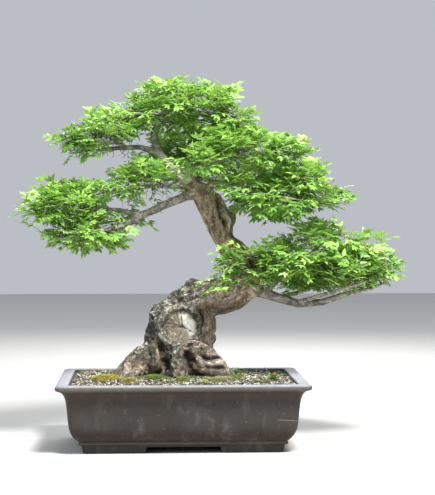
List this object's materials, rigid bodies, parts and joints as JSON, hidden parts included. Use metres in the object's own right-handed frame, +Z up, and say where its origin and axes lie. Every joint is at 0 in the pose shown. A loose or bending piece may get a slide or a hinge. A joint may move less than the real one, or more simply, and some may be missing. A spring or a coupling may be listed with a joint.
{
  "type": "potted bonsai tree",
  "caption": "Broadleaf bonsai tree with a thick leaning trunk, spreading surface roots and layered leafy pads, growing in a rectangular unglazed tray pot on corner feet.",
  "frame": {"origin": "middle of the overall box in X and Y, on the surface that the pot's feet stand on", "axes": "+Z up, +X along the pot's long side towards the low right branch, +Y from the front of the pot to its back"},
  "size_m": [0.798, 0.411, 0.748],
  "materials": {
    "stoneware": "satin",
    "soil": "matte",
    "screen": "matte",
    "bark": "matte",
    "leaves": "satin",
    "moss": "matte",
    "grass": "matte"
  },
  "bodies": {
    "root": {"pot": "stoneware", "soil": "soil", "drain_screen_left": "screen", "drain_screen_right": "screen", "trunk": "bark", "branch_right_low": "bark", "branch_left": "bark", "branch_left_middle": "bark", "branch_right": "bark", "branch_upper_right": "bark", "branch_upper_left": "bark", "branch_apex": "bark", "branch_back": "bark", "foliage_apex": "leaves", "foliage_upper_left": "leaves", "foliage_upper_right": "leaves", "foliage_right": "leaves", "foliage_left_middle": "leaves", "foliage_left": "leaves", "foliage_right_low": "leaves", "foliage_fork": "leaves", "foliage_front": "leaves", "foliage_back": "leaves", "moss_left": "moss", "moss_front_left": "moss", "moss_root": "moss", "moss_centre": "moss", "moss_right": "moss", "grass_tuft": "grass", "weed_front": "grass", "weed_right": "grass"}
  },
  "joints": []
}
